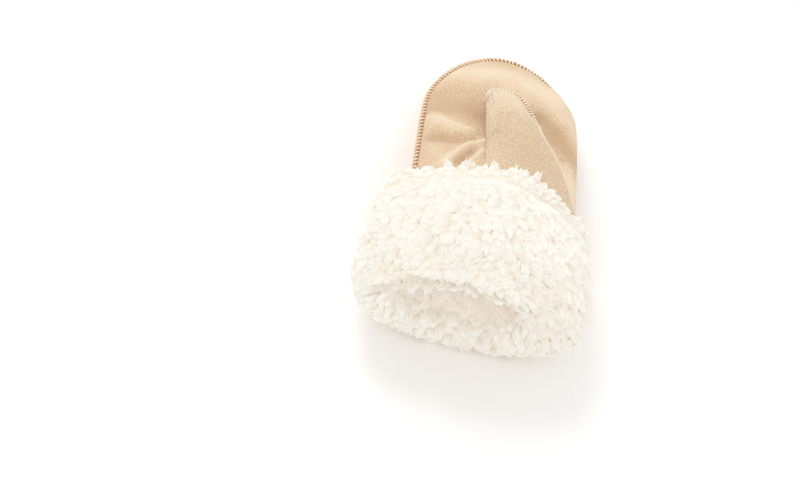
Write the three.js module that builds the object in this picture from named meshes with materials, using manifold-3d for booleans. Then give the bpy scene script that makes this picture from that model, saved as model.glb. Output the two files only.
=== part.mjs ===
// A right-hand suede mitten with a deep sherpa cuff, lying on its back with the thumb folded over the palm.
// Millimetres. +Y runs from the cuff's mouth to the fingertips, +X is the thumb's side, +Z is up.

import * as THREE from 'three';
import { mergeVertices } from 'three/addons/utils/BufferGeometryUtils.js';
import Module from 'manifold-3d';

const SUEDE = { color: 0xe6cdae, roughness: 0.9 };
const THUMB_SUEDE = { color: 0xe8ceb2, roughness: 0.9 };
const PILE = { color: 0xf9f1e6, roughness: 1.0 };
const LINING_PILE = { color: 0xf3e9dc, roughness: 1.0 };

const WALL = 2.4;
const GAP = 0.3;
const HALF_GAP = GAP / 2;
const TINY = 1e-6;

// The hand. Its edge seam is a flat rim all round, where the palm and the back are sewn together.
const FINGERTIP_Y = 146;
const ROUNDING_FROM_Y = 60;
const ROUNDING_POWER = 2.3;
const TIP_FALL_POWER = 0.8;
const LAST_ROW_INSET = 0.5;
const HAND_COLUMNS = 16;
const HAND_ROWS = 28;
const ROW_CROWDING = 1.55;
const BACK_COLUMNS = 8;
const SHELL_END_Y = -128;
const RIM_WIDTH = 3.5;
const RIM_THICKNESS = 1.4;
const HAND_SECTIONS = [
  { at: -130, halfWidth: 52, seamHeight: 41, crown: 20, belly: 25, edge: 1.05 },
  { at: -90, halfWidth: 51.5, seamHeight: 40, crown: 19, belly: 22, edge: 1.1 },
  { at: -45, halfWidth: 51, seamHeight: 37, crown: 17.5, belly: 19, edge: 1.2 },
  { at: 0, halfWidth: 51.5, seamHeight: 31, crown: 17, belly: 27, edge: 1.3 },
  { at: 50, halfWidth: 51.5, seamHeight: 24, crown: 15.5, belly: 25, edge: 1.3 },
  { at: 100, halfWidth: 50, seamHeight: 16, crown: 13.5, belly: 16.5, edge: 1.3 },
  { at: 140, halfWidth: 46, seamHeight: 9, crown: 11, belly: 8.5, edge: 1.3 },
];

// Soft folds of the palm, each a ridge (rise above 0) or a valley between two points.
const PALM_FOLDS = [
  { name: 'crease across the fingers', x0: -52, y0: 48, x1: -20, y1: 22, width: 6, rise: 2.2 },
  { name: 'hollow above the thumb', x0: -34, y0: 66, x1: -16, y1: 48, width: 13, rise: -2.6 },
  { name: 'valley below the crease', x0: -44, y0: 21, x1: -25, y1: 14, width: 6, rise: -2.6 },
  { name: 'ridge to the thumb root', x0: -33, y0: -16, x1: -17, y1: 9, width: 5, rise: 2.4 },
  { name: 'valley at the thumb root', x0: -23, y0: -15, x1: -15, y1: -3, width: 4, rise: -2.2 },
  { name: 'bed of the thumb', x0: 8, y0: 12, x1: -6, y1: 62, width: 15, rise: -4 },
  { name: 'long ridge at the thumb side', x0: -6, y0: 120, x1: 48, y1: 58, width: 9, rise: 1.8 },
  { name: 'valley beside the thumb', x0: 20, y0: 48, x1: 45, y1: 26, width: 7, rise: -2.4 },
  { name: 'fold at the thumb side', x0: 34, y0: 10, x1: 52, y1: 20, width: 5, rise: 2 },
];
const CENTRE_VALLEY = { width: 5, rise: 1.8 };

// The thumb, along a line from its root to its tip. It lies on the palm, over an oval hole.
const THUMB_ROOT = new THREE.Vector2(23, -41);
const THUMB_TIP = new THREE.Vector2(-7, 68);
const THUMB_START = -0.12;
const THUMB_ROUNDING_FROM = 0.88;
const THUMB_LAST_ROW = 0.997;
const THUMB_PUFF_END = 0.99;
const THUMB_COLUMNS = 10;
const THUMB_ROWS = 15;
const THUMB_BACK_FIRST_ROW = 5;
const THUMB_SECTIONS = [
  { at: -0.15, halfWidth: 29, crown: 4, lift: 0, settle: 1 },
  { at: 0, halfWidth: 27.5, crown: 6.5, lift: 0, settle: 1 },
  { at: 0.25, halfWidth: 23, crown: 8.5, lift: 0.2, settle: 0.95 },
  { at: 0.42, halfWidth: 19.7, crown: 8.5, lift: 1.3, settle: 0.9 },
  { at: 0.6, halfWidth: 16.7, crown: 8, lift: 2.4, settle: 0.85 },
  { at: 0.75, halfWidth: 14.5, crown: 7.5, lift: 2.8, settle: 0.8 },
  { at: 1, halfWidth: 12, crown: 6.5, lift: 3, settle: 0.8 },
];
const THUMB_BELLY = 5;
const THUMB_EDGE = 1.1;
const THUMB_HOLE = { share: 0.17, halfLength: 27, halfWidth: 15, lowest: 20, highest: 80, sides: 20 };

// The cuff, with its pile. It stands on its flattened underside.
const CUFF_MOUTH_Y = -141;
const CUFF_EDGE_Y = -38;
const CUFF_SECTIONS = [
  { at: -141, halfWidth: 51, top: 64, bottom: 14, shift: -7.3 },
  { at: -136, halfWidth: 59, top: 69, bottom: 7, shift: -7.2 },
  { at: -128, halfWidth: 65, top: 72, bottom: 1, shift: -7 },
  { at: -100, halfWidth: 69, top: 76, bottom: -5, shift: -6.4 },
  { at: -70, halfWidth: 67, top: 77, bottom: -4, shift: -5.6 },
  { at: -50, halfWidth: 65, top: 71, bottom: 0, shift: -4.6 },
  { at: -38, halfWidth: 59.5, top: 65.5, bottom: 12, shift: -4 },
];
const PILE_DEPTH = 3.5;

const BACKING_SIDES = 24;
const BACKING_RINGS = 9;

// The locks stand in rings round the cuff. Each ring is a skirt whose edge runs out into pointed locks and
// sinks into the backing between them. The ring at the hand points to the fingers, the rest to the mouth.
const LOCK_RINGS = 7;
const LOCKS_IN_RING = 16;
const FIRST_RING_INSET = 7;
const LAST_RING_INSET = 8;

// The corners of a skirt's section: how far each lies along the comb and how proud of the backing it stands,
// in the middle of a lock and in the dip between two.
const LOCK_TIP = { reach: 13, proud: 1.5, dipReach: 2, dipProud: -3 };
const LOCK_CREST = { reach: -2, proud: 1.2, dipReach: -2, dipProud: -2 };
const LOCK_ROOT = { reach: 4, proud: -4, dipReach: 4, dipProud: -4 };
const SHORTEST_LOCK = 0.7;
const LONGEST_LOCK = 1.2;
const LOCK_PROUD_SPREAD = 1.5;
const LOCK_TURN_SPREAD = 0.16;

// The inside of the cuff. The lining's pile leaves an oval way in for the hand.
const LINING_END_Y = -64;
const LINING_CLEARANCE = 0.6;
const LINING_EDGE_INSET = 6;
const LINING_COLUMNS = 12;
const LINING_ROWS = 6;
const MOUTH_SIDES = 20;
const MOUTH_RINGS = 6;
const MOUTH_SECTIONS = [
  { at: -142, halfWidth: 43, halfHeight: 18, height: 40, shift: -13 },
  { at: -136, halfWidth: 41, halfHeight: 14.5, height: 41, shift: -9 },
  { at: -128, halfWidth: 40, halfHeight: 13, height: 41, shift: -4 },
  { at: -95, halfWidth: 40, halfHeight: 12.5, height: 39.5, shift: 0 },
  { at: -62, halfWidth: 42, halfHeight: 13.5, height: 37.5, shift: 0 },
];

// A smooth curve through one column of a table.
function along(table, column, at) {
  const last = table.length - 1;
  const place = THREE.MathUtils.clamp(at, table[0].at, table[last].at);
  let row = 0;
  while (row < last - 1 && place > table[row + 1].at) row += 1;
  const slopeAt = (index) => {
    const before = table[Math.max(index - 1, 0)];
    const after = table[Math.min(index + 1, last)];
    return (after[column] - before[column]) / (after.at - before.at);
  };
  const start = table[row];
  const end = table[row + 1];
  const span = end.at - start.at;
  const t = (place - start.at) / span;
  const rise = t * t * (3 - 2 * t);
  const bend = t * (1 - t);
  const straight = start[column] + (end[column] - start[column]) * rise;
  return straight + span * bend * ((1 - t) * slopeAt(row) - t * slopeAt(row + 1));
}

function roundedEnd(at, from, end) {
  const t = THREE.MathUtils.clamp((at - from) / (end - from), 0, 1);
  return Math.sqrt(Math.max(1 - t ** ROUNDING_POWER, 0));
}

function handHalfWidth(y, inset = 0) {
  const straight = along(HAND_SECTIONS, 'halfWidth', y) - inset;
  return straight * roundedEnd(y, ROUNDING_FROM_Y, FINGERTIP_Y - inset);
}

function handPuff(x, y) {
  const across = Math.min(Math.abs(x) / Math.max(handHalfWidth(y, RIM_WIDTH), TINY), 1);
  const tipFall = roundedEnd(y, ROUNDING_FROM_Y, FINGERTIP_Y - RIM_WIDTH) ** TIP_FALL_POWER;
  return (1 - across ** 2) ** (along(HAND_SECTIONS, 'edge', y) / 2) * tipFall;
}

function foldHeight(x, y) {
  const point = new THREE.Vector3(x, y, 0);
  const nearest = new THREE.Vector3();
  let height = 0;
  for (const fold of PALM_FOLDS) {
    const start = new THREE.Vector3(fold.x0, fold.y0, 0);
    const end = new THREE.Vector3(fold.x1, fold.y1, 0);
    new THREE.Line3(start, end).closestPointToPoint(point, true, nearest);
    height += fold.rise * Math.exp(-((nearest.distanceTo(point) / fold.width) ** 2));
  }
  return height;
}

function seamHeight(y) {
  return along(HAND_SECTIONS, 'seamHeight', y);
}

function palmForm(x, y) {
  return seamHeight(y) + RIM_THICKNESS + along(HAND_SECTIONS, 'crown', y) * handPuff(x, y);
}

function palmTop(x, y) {
  return palmForm(x, y) + foldHeight(x, y) * Math.min(2 * handPuff(x, y), 1);
}

function backBottom(x, y) {
  const puffed = seamHeight(y) - RIM_THICKNESS - along(HAND_SECTIONS, 'belly', y) * handPuff(x, y);
  const valley = CENTRE_VALLEY.rise * Math.exp(-((x / CENTRE_VALLEY.width) ** 2));
  return Math.max(puffed, 0) + valley * handPuff(x, y);
}

// How much deeper a wall of the stated thickness is when measured straight down through a sloping surface.
function wallDepth(surface, x, y) {
  const step = 0.5;
  const slopeX = (surface(x + step, y) - surface(x - step, y)) / (2 * step);
  const slopeY = (surface(x, y + step) - surface(x, y - step)) / (2 * step);
  return WALL * Math.sqrt(1 + slopeX ** 2 + slopeY ** 2);
}

function palmInside(x, y) {
  return Math.max(palmTop(x, y) - wallDepth(palmTop, x, y), seamHeight(y) + HALF_GAP);
}

function backInside(x, y) {
  return Math.min(backBottom(x, y) + wallDepth(backBottom, x, y), seamHeight(y) - HALF_GAP);
}

// A closed geometry whose shared corners are welded and then placed one by one.
function reshaped(geometry, place) {
  geometry.deleteAttribute('normal');
  geometry.deleteAttribute('uv');
  const welded = mergeVertices(geometry);
  const corners = welded.attributes.position;
  const corner = new THREE.Vector3();
  for (let i = 0; i < corners.count; i += 1) {
    corner.fromBufferAttribute(corners, i);
    place(corner);
    corners.setXYZ(i, corner.x, corner.y, corner.z);
  }
  return facingOut(welded);
}

function facingOut(geometry) {
  const index = geometry.index.array;
  const corners = geometry.attributes.position;
  const [a, b, c] = [new THREE.Vector3(), new THREE.Vector3(), new THREE.Vector3()];
  let volume = 0;
  for (let i = 0; i < index.length; i += 3) {
    a.fromBufferAttribute(corners, index[i]);
    b.fromBufferAttribute(corners, index[i + 1]);
    c.fromBufferAttribute(corners, index[i + 2]);
    volume += a.dot(b.cross(c));
  }
  if (volume < 0) {
    for (let i = 0; i < index.length; i += 3) {
      [index[i], index[i + 1]] = [index[i + 1], index[i]];
    }
  }
  return geometry;
}

// A slab of rows and columns. place gets two coordinates from 0 to 1 and whether it is on the upper side.
function slab(columns, rows, place) {
  return reshaped(new THREE.BoxGeometry(1, 1, 1, columns, rows, 1), (corner) => {
    place(corner, corner.x + 0.5, corner.y + 0.5, corner.z > 0);
  });
}

// A barrel of rings. place gets the angle round it, its length from 0 to 1 and the share of the radius.
function barrel(around, rings, place) {
  return reshaped(new THREE.CylinderGeometry(1, 1, 1, around, rings), (corner) => {
    const reach = Math.min(Math.hypot(corner.x, corner.z), 1);
    place(corner, Math.atan2(corner.x, corner.z), corner.y + 0.5, reach);
  });
}

const wasm = await Module();
wasm.setup();

function toSolid(geometry) {
  return new wasm.Manifold(new wasm.Mesh({
    numProp: 3,
    vertProperties: new Float32Array(geometry.attributes.position.array),
    triVerts: new Uint32Array(geometry.index.array),
  }));
}

function toGeometry(solid) {
  const result = solid.getMesh();
  const geometry = new THREE.BufferGeometry();
  geometry.setAttribute('position', new THREE.BufferAttribute(result.vertProperties, 3));
  geometry.setIndex(new THREE.BufferAttribute(result.triVerts, 1));
  return geometry;
}

const mitten = new THREE.Group();

function addPiece(name, geometry, look) {
  const material = new THREE.MeshStandardMaterial({ ...look, metalness: 0 });
  const piece = new THREE.Mesh(geometry, material);
  piece.name = name;
  mitten.add(piece);
}

// The rows of the hand crowd together towards the fingertips, and its columns towards the rim.
function handRow(share) {
  return THREE.MathUtils.lerp(SHELL_END_Y, FINGERTIP_Y - LAST_ROW_INSET, 1 - (1 - share) ** ROW_CROWDING);
}

function palmPanel() {
  const sheet = slab(HAND_COLUMNS, HAND_ROWS, (corner, across, lengthwise, upper) => {
    const y = handRow(lengthwise);
    const x = handHalfWidth(y) * Math.sin((across - 0.5) * Math.PI);
    corner.set(x, y, upper ? palmTop(x, y) : palmInside(x, y));
  });
  return toGeometry(toSolid(sheet).subtract(toSolid(thumbHole())));
}

// The hand's whole outer form, grown by a clearance. What lies on the hand is cut back by it.
function handCore() {
  return slab(HAND_COLUMNS, HAND_ROWS, (corner, across, lengthwise, upper) => {
    const y = lengthwise > 0 ? handRow(lengthwise) : SHELL_END_Y - GAP;
    const side = Math.sin((across - 0.5) * Math.PI);
    const x = handHalfWidth(y) * side;
    corner.set(x + GAP * side, y, upper ? palmTop(x, y) + GAP : backBottom(x, y) - GAP);
  });
}

function backPanel(side) {
  return slab(BACK_COLUMNS, HAND_ROWS, (corner, across, lengthwise, upper) => {
    const y = handRow(lengthwise);
    const outward = HALF_GAP + (handHalfWidth(y) - HALF_GAP) * Math.sin(across * Math.PI / 2);
    const x = side * outward;
    corner.set(x, y, upper ? backInside(x, y) : backBottom(x, y));
  });
}

const thumbAxis = THUMB_TIP.clone().sub(THUMB_ROOT);
const thumbLength = thumbAxis.length();
const thumbAcross = new THREE.Vector2(thumbAxis.y, -thumbAxis.x).normalize();

function thumbPoint(share, across) {
  return THUMB_ROOT.clone().addScaledVector(thumbAxis, share).addScaledVector(thumbAcross, across);
}

function thumbHalfWidth(share) {
  return along(THUMB_SECTIONS, 'halfWidth', share) * roundedEnd(share, THUMB_ROUNDING_FROM, 1);
}

// The thumb's seam follows the palm under it, a little flatter than the palm is towards the thumb's tip.
function thumbSeamHeight(share, point) {
  const axisX = thumbPoint(share, 0).x;
  const settled = THREE.MathUtils.lerp(axisX, point.x, along(THUMB_SECTIONS, 'settle', share));
  const palm = Math.max(palmForm(settled, point.y), palmTop(point.x, point.y));
  return palm + GAP + along(THUMB_SECTIONS, 'lift', share);
}

function thumbPuff(share, across) {
  const inner = Math.max(1 - RIM_WIDTH / thumbHalfWidth(share), TINY);
  const reach = Math.min(Math.abs(across) / inner, 1);
  return (1 - reach ** 2) ** (THUMB_EDGE / 2) * roundedEnd(share, THUMB_ROUNDING_FROM, THUMB_PUFF_END);
}

function thumbFrontTop(share, across) {
  const point = thumbPoint(share, across * thumbHalfWidth(share));
  const crown = along(THUMB_SECTIONS, 'crown', share) * thumbPuff(share, across);
  return thumbSeamHeight(share, point) + RIM_THICKNESS + crown;
}

// The thumb's two halves share their rows and columns, so that their seam edges stay parallel.
function thumbGrid(firstRow, place) {
  return slab(THUMB_COLUMNS, THUMB_ROWS - firstRow, (corner, column, lengthwise, upper) => {
    const row = THREE.MathUtils.lerp(firstRow, THUMB_ROWS, lengthwise) / THUMB_ROWS;
    const share = THREE.MathUtils.lerp(THUMB_START, THUMB_LAST_ROW, 1 - (1 - row) ** ROW_CROWDING);
    place(corner, share, Math.sin((column - 0.5) * Math.PI), upper);
  });
}

function thumbFrontInside(share, across) {
  const step = 0.02;
  const halfWidth = thumbHalfWidth(share);
  const point = thumbPoint(share, across * halfWidth);
  const rise = thumbFrontTop(share, across + step) - thumbFrontTop(share, across - step);
  const depth = WALL * Math.sqrt(1 + (rise / (2 * step * halfWidth)) ** 2);
  return Math.max(thumbFrontTop(share, across) - depth, thumbSeamHeight(share, point) + HALF_GAP);
}

function thumbFrontPanel() {
  const sheet = thumbGrid(0, (corner, share, across, upper) => {
    const point = thumbPoint(share, across * thumbHalfWidth(share));
    corner.set(point.x, point.y, upper ? thumbFrontTop(share, across) : thumbFrontInside(share, across));
  });
  return toGeometry(toSolid(sheet).subtract(toSolid(handCore())));
}

function thumbBackPanel() {
  const sheet = thumbGrid(THUMB_BACK_FIRST_ROW, (corner, share, across, upper) => {
    const point = thumbPoint(share, across * thumbHalfWidth(share));
    const seam = thumbSeamHeight(share, point);
    const puffed = seam - RIM_THICKNESS - THUMB_BELLY * thumbPuff(share, across);
    const bottom = Math.max(puffed, palmTop(point.x, point.y) + GAP);
    corner.set(point.x, point.y, upper ? Math.min(bottom + WALL, seam - HALF_GAP) : bottom);
  });
  return toGeometry(toSolid(sheet).subtract(toSolid(handCore())));
}

// The thumb's outer form, grown by a clearance, down into the palm. The cuff is cut back by it.
function thumbCore() {
  return thumbGrid(0, (corner, share, across, upper) => {
    const start = share === THUMB_START ? GAP / thumbLength : 0;
    const point = thumbPoint(share - start, across * (thumbHalfWidth(share) + GAP));
    const sunk = palmTop(point.x, point.y) - WALL;
    corner.set(point.x, point.y, upper ? thumbFrontTop(share, across) + GAP : sunk);
  });
}

// The hole is an upright oval plug, cut out of the palm under the root of the thumb.
function thumbHole() {
  return barrel(THUMB_HOLE.sides, 1, (corner, angle, upward, reach) => {
    const forward = THUMB_HOLE.halfLength * Math.cos(angle) * reach / thumbLength;
    const point = thumbPoint(THUMB_HOLE.share + forward, THUMB_HOLE.halfWidth * Math.sin(angle) * reach);
    corner.set(point.x, point.y, THREE.MathUtils.lerp(THUMB_HOLE.lowest, THUMB_HOLE.highest, upward));
  });
}

function cuffPoint(angle, y, inset = 0) {
  const top = along(CUFF_SECTIONS, 'top', y) - inset;
  const bottom = along(CUFF_SECTIONS, 'bottom', y) + inset;
  const halfWidth = along(CUFF_SECTIONS, 'halfWidth', y) - inset;
  const middle = (top + bottom) / 2;
  const x = along(CUFF_SECTIONS, 'shift', y) + halfWidth * Math.sin(angle);
  return new THREE.Vector3(x, y, middle + (top - middle) * Math.cos(angle));
}

function mouthSolid() {
  return barrel(MOUTH_SIDES, MOUTH_RINGS, (corner, angle, lengthwise, reach) => {
    const y = THREE.MathUtils.lerp(CUFF_MOUTH_Y - 1, LINING_END_Y + 2, lengthwise);
    const sideways = along(MOUTH_SECTIONS, 'halfWidth', y) * Math.sin(angle) * reach;
    const upward = along(MOUTH_SECTIONS, 'halfHeight', y) * Math.cos(angle) * reach;
    corner.set(along(MOUTH_SECTIONS, 'shift', y) + sideways, y, along(MOUTH_SECTIONS, 'height', y) + upward);
  });
}

// A steady scatter between 0 and 1 that gives each lock its own length and turn.
function scatter(ring, place, salt) {
  const wave = Math.sin(ring * 127.1 + place * 311.7 + salt * 74.7) * 43758.5453;
  return wave - Math.floor(wave);
}

// A skirt of locks is a ring of three-cornered sections, every second one in a dip between two locks.
function lockRing(ring) {
  const around = LOCKS_IN_RING * 2;
  const ringRadius = 10;
  const share = ring / (LOCK_RINGS - 1);
  const ringY = THREE.MathUtils.lerp(CUFF_EDGE_Y - FIRST_RING_INSET, CUFF_MOUTH_Y + LAST_RING_INSET, share);
  const comb = ring === 0 ? 1 : -1;
  return reshaped(new THREE.TorusGeometry(ringRadius, 1, 3, around), (corner) => {
    const turned = Math.atan2(corner.y, corner.x) / (2 * Math.PI) * around;
    const step = Math.round(turned + around) % around;
    const section = Math.atan2(corner.z, Math.hypot(corner.x, corner.y) - ringRadius);
    const inDip = step % 2 === 1;
    const atTip = Math.abs(section) < 1;
    const part = [LOCK_ROOT, LOCK_TIP, LOCK_CREST][atTip ? 1 : 1 + Math.sign(section)];
    const loose = atTip && !inDip ? 1 : 0;
    const stretch = THREE.MathUtils.lerp(SHORTEST_LOCK, LONGEST_LOCK, scatter(ring, step, 3));
    const reach = inDip ? part.dipReach : part.reach * (loose ? stretch : 1);
    const proud = (inDip ? part.dipProud : part.proud) + loose * LOCK_PROUD_SPREAD * scatter(ring, step, 1);
    const turn = loose * LOCK_TURN_SPREAD * (scatter(ring, step, 2) - 0.5);
    const angle = (step + (ring % 2)) / around * 2 * Math.PI + turn;
    corner.copy(cuffPoint(angle, ringY + comb * reach, PILE_DEPTH - proud));
  });
}

function floorBlock() {
  const reach = 400;
  return reshaped(new THREE.BoxGeometry(reach, reach, reach), (corner) => {
    corner.z -= reach / 2;
  });
}

function cuff() {
  const backing = barrel(BACKING_SIDES, BACKING_RINGS, (corner, angle, lengthwise, reach) => {
    const y = THREE.MathUtils.lerp(CUFF_MOUTH_Y, CUFF_EDGE_Y, lengthwise);
    const surface = cuffPoint(angle, y, PILE_DEPTH);
    const middle = surface.clone().add(cuffPoint(angle + Math.PI, y, PILE_DEPTH)).multiplyScalar(0.5);
    corner.copy(middle.lerp(surface, reach));
  });
  let pile = toSolid(backing);
  for (let ring = 0; ring < LOCK_RINGS; ring += 1) {
    pile = pile.add(toSolid(lockRing(ring)));
  }
  for (const cut of [floorBlock(), handCore(), thumbCore(), mouthSolid()]) {
    pile = pile.subtract(toSolid(cut));
  }
  return toGeometry(pile);
}

function lining() {
  const pile = slab(LINING_COLUMNS, LINING_ROWS, (corner, across, lengthwise, upper) => {
    const y = THREE.MathUtils.lerp(SHELL_END_Y, LINING_END_Y, lengthwise);
    const x = (handHalfWidth(y) - LINING_EDGE_INSET) * Math.sin((across - 0.5) * Math.PI);
    corner.set(x, y, upper ? palmInside(x, y) - LINING_CLEARANCE : backInside(x, y) + LINING_CLEARANCE);
  });
  return toGeometry(toSolid(pile).subtract(toSolid(mouthSolid())));
}

addPiece('palm_panel', palmPanel(), SUEDE);
addPiece('back_panel_thumb_side', backPanel(1), SUEDE);
addPiece('back_panel_outer_side', backPanel(-1), SUEDE);
addPiece('thumb_front_panel', thumbFrontPanel(), THUMB_SUEDE);
addPiece('thumb_back_panel', thumbBackPanel(), SUEDE);
addPiece('cuff', cuff(), PILE);
addPiece('lining', lining(), LINING_PILE);

// The frame's origin is the middle of the underside of the whole mitten.
const box = new THREE.Box3().setFromObject(mitten);
mitten.position.set(-(box.min.x + box.max.x) / 2, -(box.min.y + box.max.y) / 2, -box.min.z);

export default mitten;
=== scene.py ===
# A right-hand suede mitten with a deep sherpa cuff, lying palm up with its thumb folded over the palm.

import math

import bpy
import numpy as np
from mathutils import Matrix, Vector, noise


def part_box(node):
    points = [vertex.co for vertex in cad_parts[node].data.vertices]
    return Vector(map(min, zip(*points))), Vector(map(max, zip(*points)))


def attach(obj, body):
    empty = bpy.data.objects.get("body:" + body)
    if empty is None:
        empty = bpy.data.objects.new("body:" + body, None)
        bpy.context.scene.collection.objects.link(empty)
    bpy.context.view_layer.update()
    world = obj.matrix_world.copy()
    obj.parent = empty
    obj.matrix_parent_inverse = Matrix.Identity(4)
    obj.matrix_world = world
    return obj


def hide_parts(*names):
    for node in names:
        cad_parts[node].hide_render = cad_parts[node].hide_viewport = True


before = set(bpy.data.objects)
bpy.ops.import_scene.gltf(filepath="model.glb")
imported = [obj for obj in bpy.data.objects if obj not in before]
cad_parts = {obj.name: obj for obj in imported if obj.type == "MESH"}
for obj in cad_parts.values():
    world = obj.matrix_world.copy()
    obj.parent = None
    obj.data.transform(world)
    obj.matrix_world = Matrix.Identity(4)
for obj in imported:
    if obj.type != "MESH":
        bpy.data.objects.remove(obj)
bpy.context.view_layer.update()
MM = 0.001

# The table and the studio. The mitten lies on a plain white table under large soft lights. The camera looks
# down on its mouth and leans to one side, as the photograph does.

VIEW_AZIMUTH = math.radians(-6.0)
VIEW_ELEVATION = math.radians(40.7)
VIEW_ROLL = math.radians(16.25)
VIEW_DISTANCE = 1.1
VIEW_LENS = 78.75
SENSOR_WIDTH = 36.0
FRAME_WIDTH = 800
FRAME_HEIGHT = 500
PIXELS_PER_RADIAN = VIEW_LENS / SENSOR_WIDTH * FRAME_WIDTH
AIM_PIXEL = (485.5, 209.6)
ROOM_COLOUR = (1.0, 0.99, 0.975, 1)
ROOM_STRENGTH = 0.9
LAMP_TARGET = (0, 0, 0.03)
TABLE_SIZE = 6

palm_low, palm_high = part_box("palm_panel")
FINGERTIP_Y = 146.0
LAST_ROW_INSET = 0.5
CENTRE_X = (palm_low.x + palm_high.x) / 2 / MM
CENTRE_Y = palm_high.y / MM - (FINGERTIP_Y - LAST_ROW_INSET)


def deselect():
    bpy.ops.object.select_all(action="DESELECT")


def set_camera():
    back = Vector((
        math.sin(VIEW_AZIMUTH) * math.cos(VIEW_ELEVATION),
        -math.cos(VIEW_AZIMUTH) * math.cos(VIEW_ELEVATION),
        math.sin(VIEW_ELEVATION),
    ))
    right = Vector((0, 0, 1)).cross(back).normalized()
    up = back.cross(right)
    leaning_right = math.cos(VIEW_ROLL) * right + math.sin(VIEW_ROLL) * up
    leaning_up = back.cross(leaning_right)
    aim = Vector((CENTRE_X, CENTRE_Y, 0)) * MM
    place = aim + back * VIEW_DISTANCE
    sideways = (AIM_PIXEL[0] - FRAME_WIDTH / 2) / PIXELS_PER_RADIAN * VIEW_DISTANCE
    upward = (FRAME_HEIGHT / 2 - AIM_PIXEL[1]) / PIXELS_PER_RADIAN * VIEW_DISTANCE
    target = aim - leaning_right * sideways - leaning_up * upward
    axis_back = (place - target).normalized()
    axis_right = leaning_up.cross(axis_back).normalized()
    axis_up = axis_back.cross(axis_right)
    bpy.ops.object.camera_add(location=place)
    camera = bpy.context.object
    camera.name = "camera"
    camera.data.lens = VIEW_LENS
    camera.data.clip_start = 0.05
    turn = Matrix((axis_right, axis_up, axis_back)).transposed()
    camera.rotation_euler = turn.to_euler()
    bpy.context.scene.camera = camera


def add_softbox(name, place, size, power):
    bpy.ops.object.light_add(type="AREA", location=place)
    lamp = bpy.context.object
    lamp.name = name
    lamp.data.shape = "DISK"
    lamp.data.size = size
    lamp.data.energy = power
    lamp.rotation_euler = (Vector(place) - Vector(LAMP_TARGET)).to_track_quat("Z", "Y").to_euler()


def set_studio():
    scene = bpy.context.scene
    scene.view_settings.view_transform = "Standard"
    scene.cycles.max_bounces = 16
    scene.cycles.diffuse_bounces = 8
    world = bpy.data.worlds.new("white_room")
    world.use_nodes = True
    background = world.node_tree.nodes["Background"]
    background.inputs["Color"].default_value = ROOM_COLOUR
    background.inputs["Strength"].default_value = ROOM_STRENGTH
    scene.world = world
    add_softbox("softbox_over", place=(-0.45, 0.55, 1.1), size=0.7, power=4.4)
    add_softbox("softbox_front", place=(0.5, -0.9, 0.9), size=0.9, power=0.8)


set_camera()
set_studio()


class Signal:
    """A value on a shader's wire. Sums and products of signals add Math nodes."""

    def __init__(self, finish, socket):
        self.finish = finish
        self.socket = socket

    def maths(self, operation, first, second):
        return self.finish.node("ShaderNodeMath", {"operation": operation}, {0: first, 1: second})

    def __add__(self, other):
        return self.maths("ADD", self, other)

    def __radd__(self, other):
        return self.maths("ADD", other, self)

    def __mul__(self, other):
        return self.maths("MULTIPLY", self, other)

    def __rmul__(self, other):
        return self.maths("MULTIPLY", other, self)


class Finish:
    """A material, whose nodes are added by one method."""

    def __init__(self, name):
        self.material = bpy.data.materials.new(name)
        self.material.use_nodes = True
        self.tree = self.material.node_tree
        self.shader = self.tree.nodes["Principled BSDF"]

    def node(self, kind, settings, sockets, output=0):
        made = self.tree.nodes.new(kind)
        for key, value in settings.items():
            setattr(made, key, value)
        self.wire(made, sockets)
        return Signal(self, made.outputs[output])

    def wire(self, made, sockets):
        for key, value in sockets.items():
            if isinstance(value, Signal):
                self.tree.links.new(value.socket, made.inputs[key])
            else:
                made.inputs[key].default_value = value

    def place(self):
        return self.node("ShaderNodeTexCoord", {}, {}, "Object")

    def attribute(self, name):
        return self.node("ShaderNodeAttribute", {"attribute_name": name}, {}, "Fac")

    def noise(self, scale, detail=2.0, roughness=0.5, where=None):
        sockets = {"Vector": where or self.place(), "Scale": scale, "Detail": detail, "Roughness": roughness}
        return self.node("ShaderNodeTexNoise", {}, sockets, "Fac")

    def spread(self, value, low, high):
        """0 below low, 1 above high."""
        sockets = {"Value": value, "From Min": low, "From Max": high}
        return self.node("ShaderNodeMapRange", {}, sockets, "Result")

    def mix(self, share, first, second):
        return self.node("ShaderNodeMix", {"data_type": "RGBA"}, {0: share, 6: first, 7: second}, 2)

    def bump(self, height, distance, strength):
        sockets = {"Height": height, "Distance": distance, "Strength": strength}
        return self.node("ShaderNodeBump", {}, sockets, "Normal")

    def done(self, base, roughness, gloss, others):
        sockets = {"Base Color": base, "Roughness": roughness, "Specular IOR Level": gloss, **others}
        self.wire(self.shader, sockets)
        return self.material


def colour(red, green, blue):
    """A colour as it looks on the screen, 0 to 255 and none darker than 11, as the shader's linear one."""
    return tuple(((part / 255 + 0.055) / 1.055) ** 2.4 for part in (red, green, blue)) + (1.0,)


def table_top():
    deselect()
    bpy.ops.mesh.primitive_plane_add(size=TABLE_SIZE)
    top = bpy.context.object
    top.name = "table_top"
    top.data.materials.append(Finish("white_table").done(colour(254, 254, 254), 0.8, 0.5, {}))


table_top()

# The suede of the hand. Palm and back are cut flat from brushed suede and puffed out by the pile inside.
# The palm has soft folds where the thumb bends over it. Their edges meet in a flat rim all round.

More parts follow.
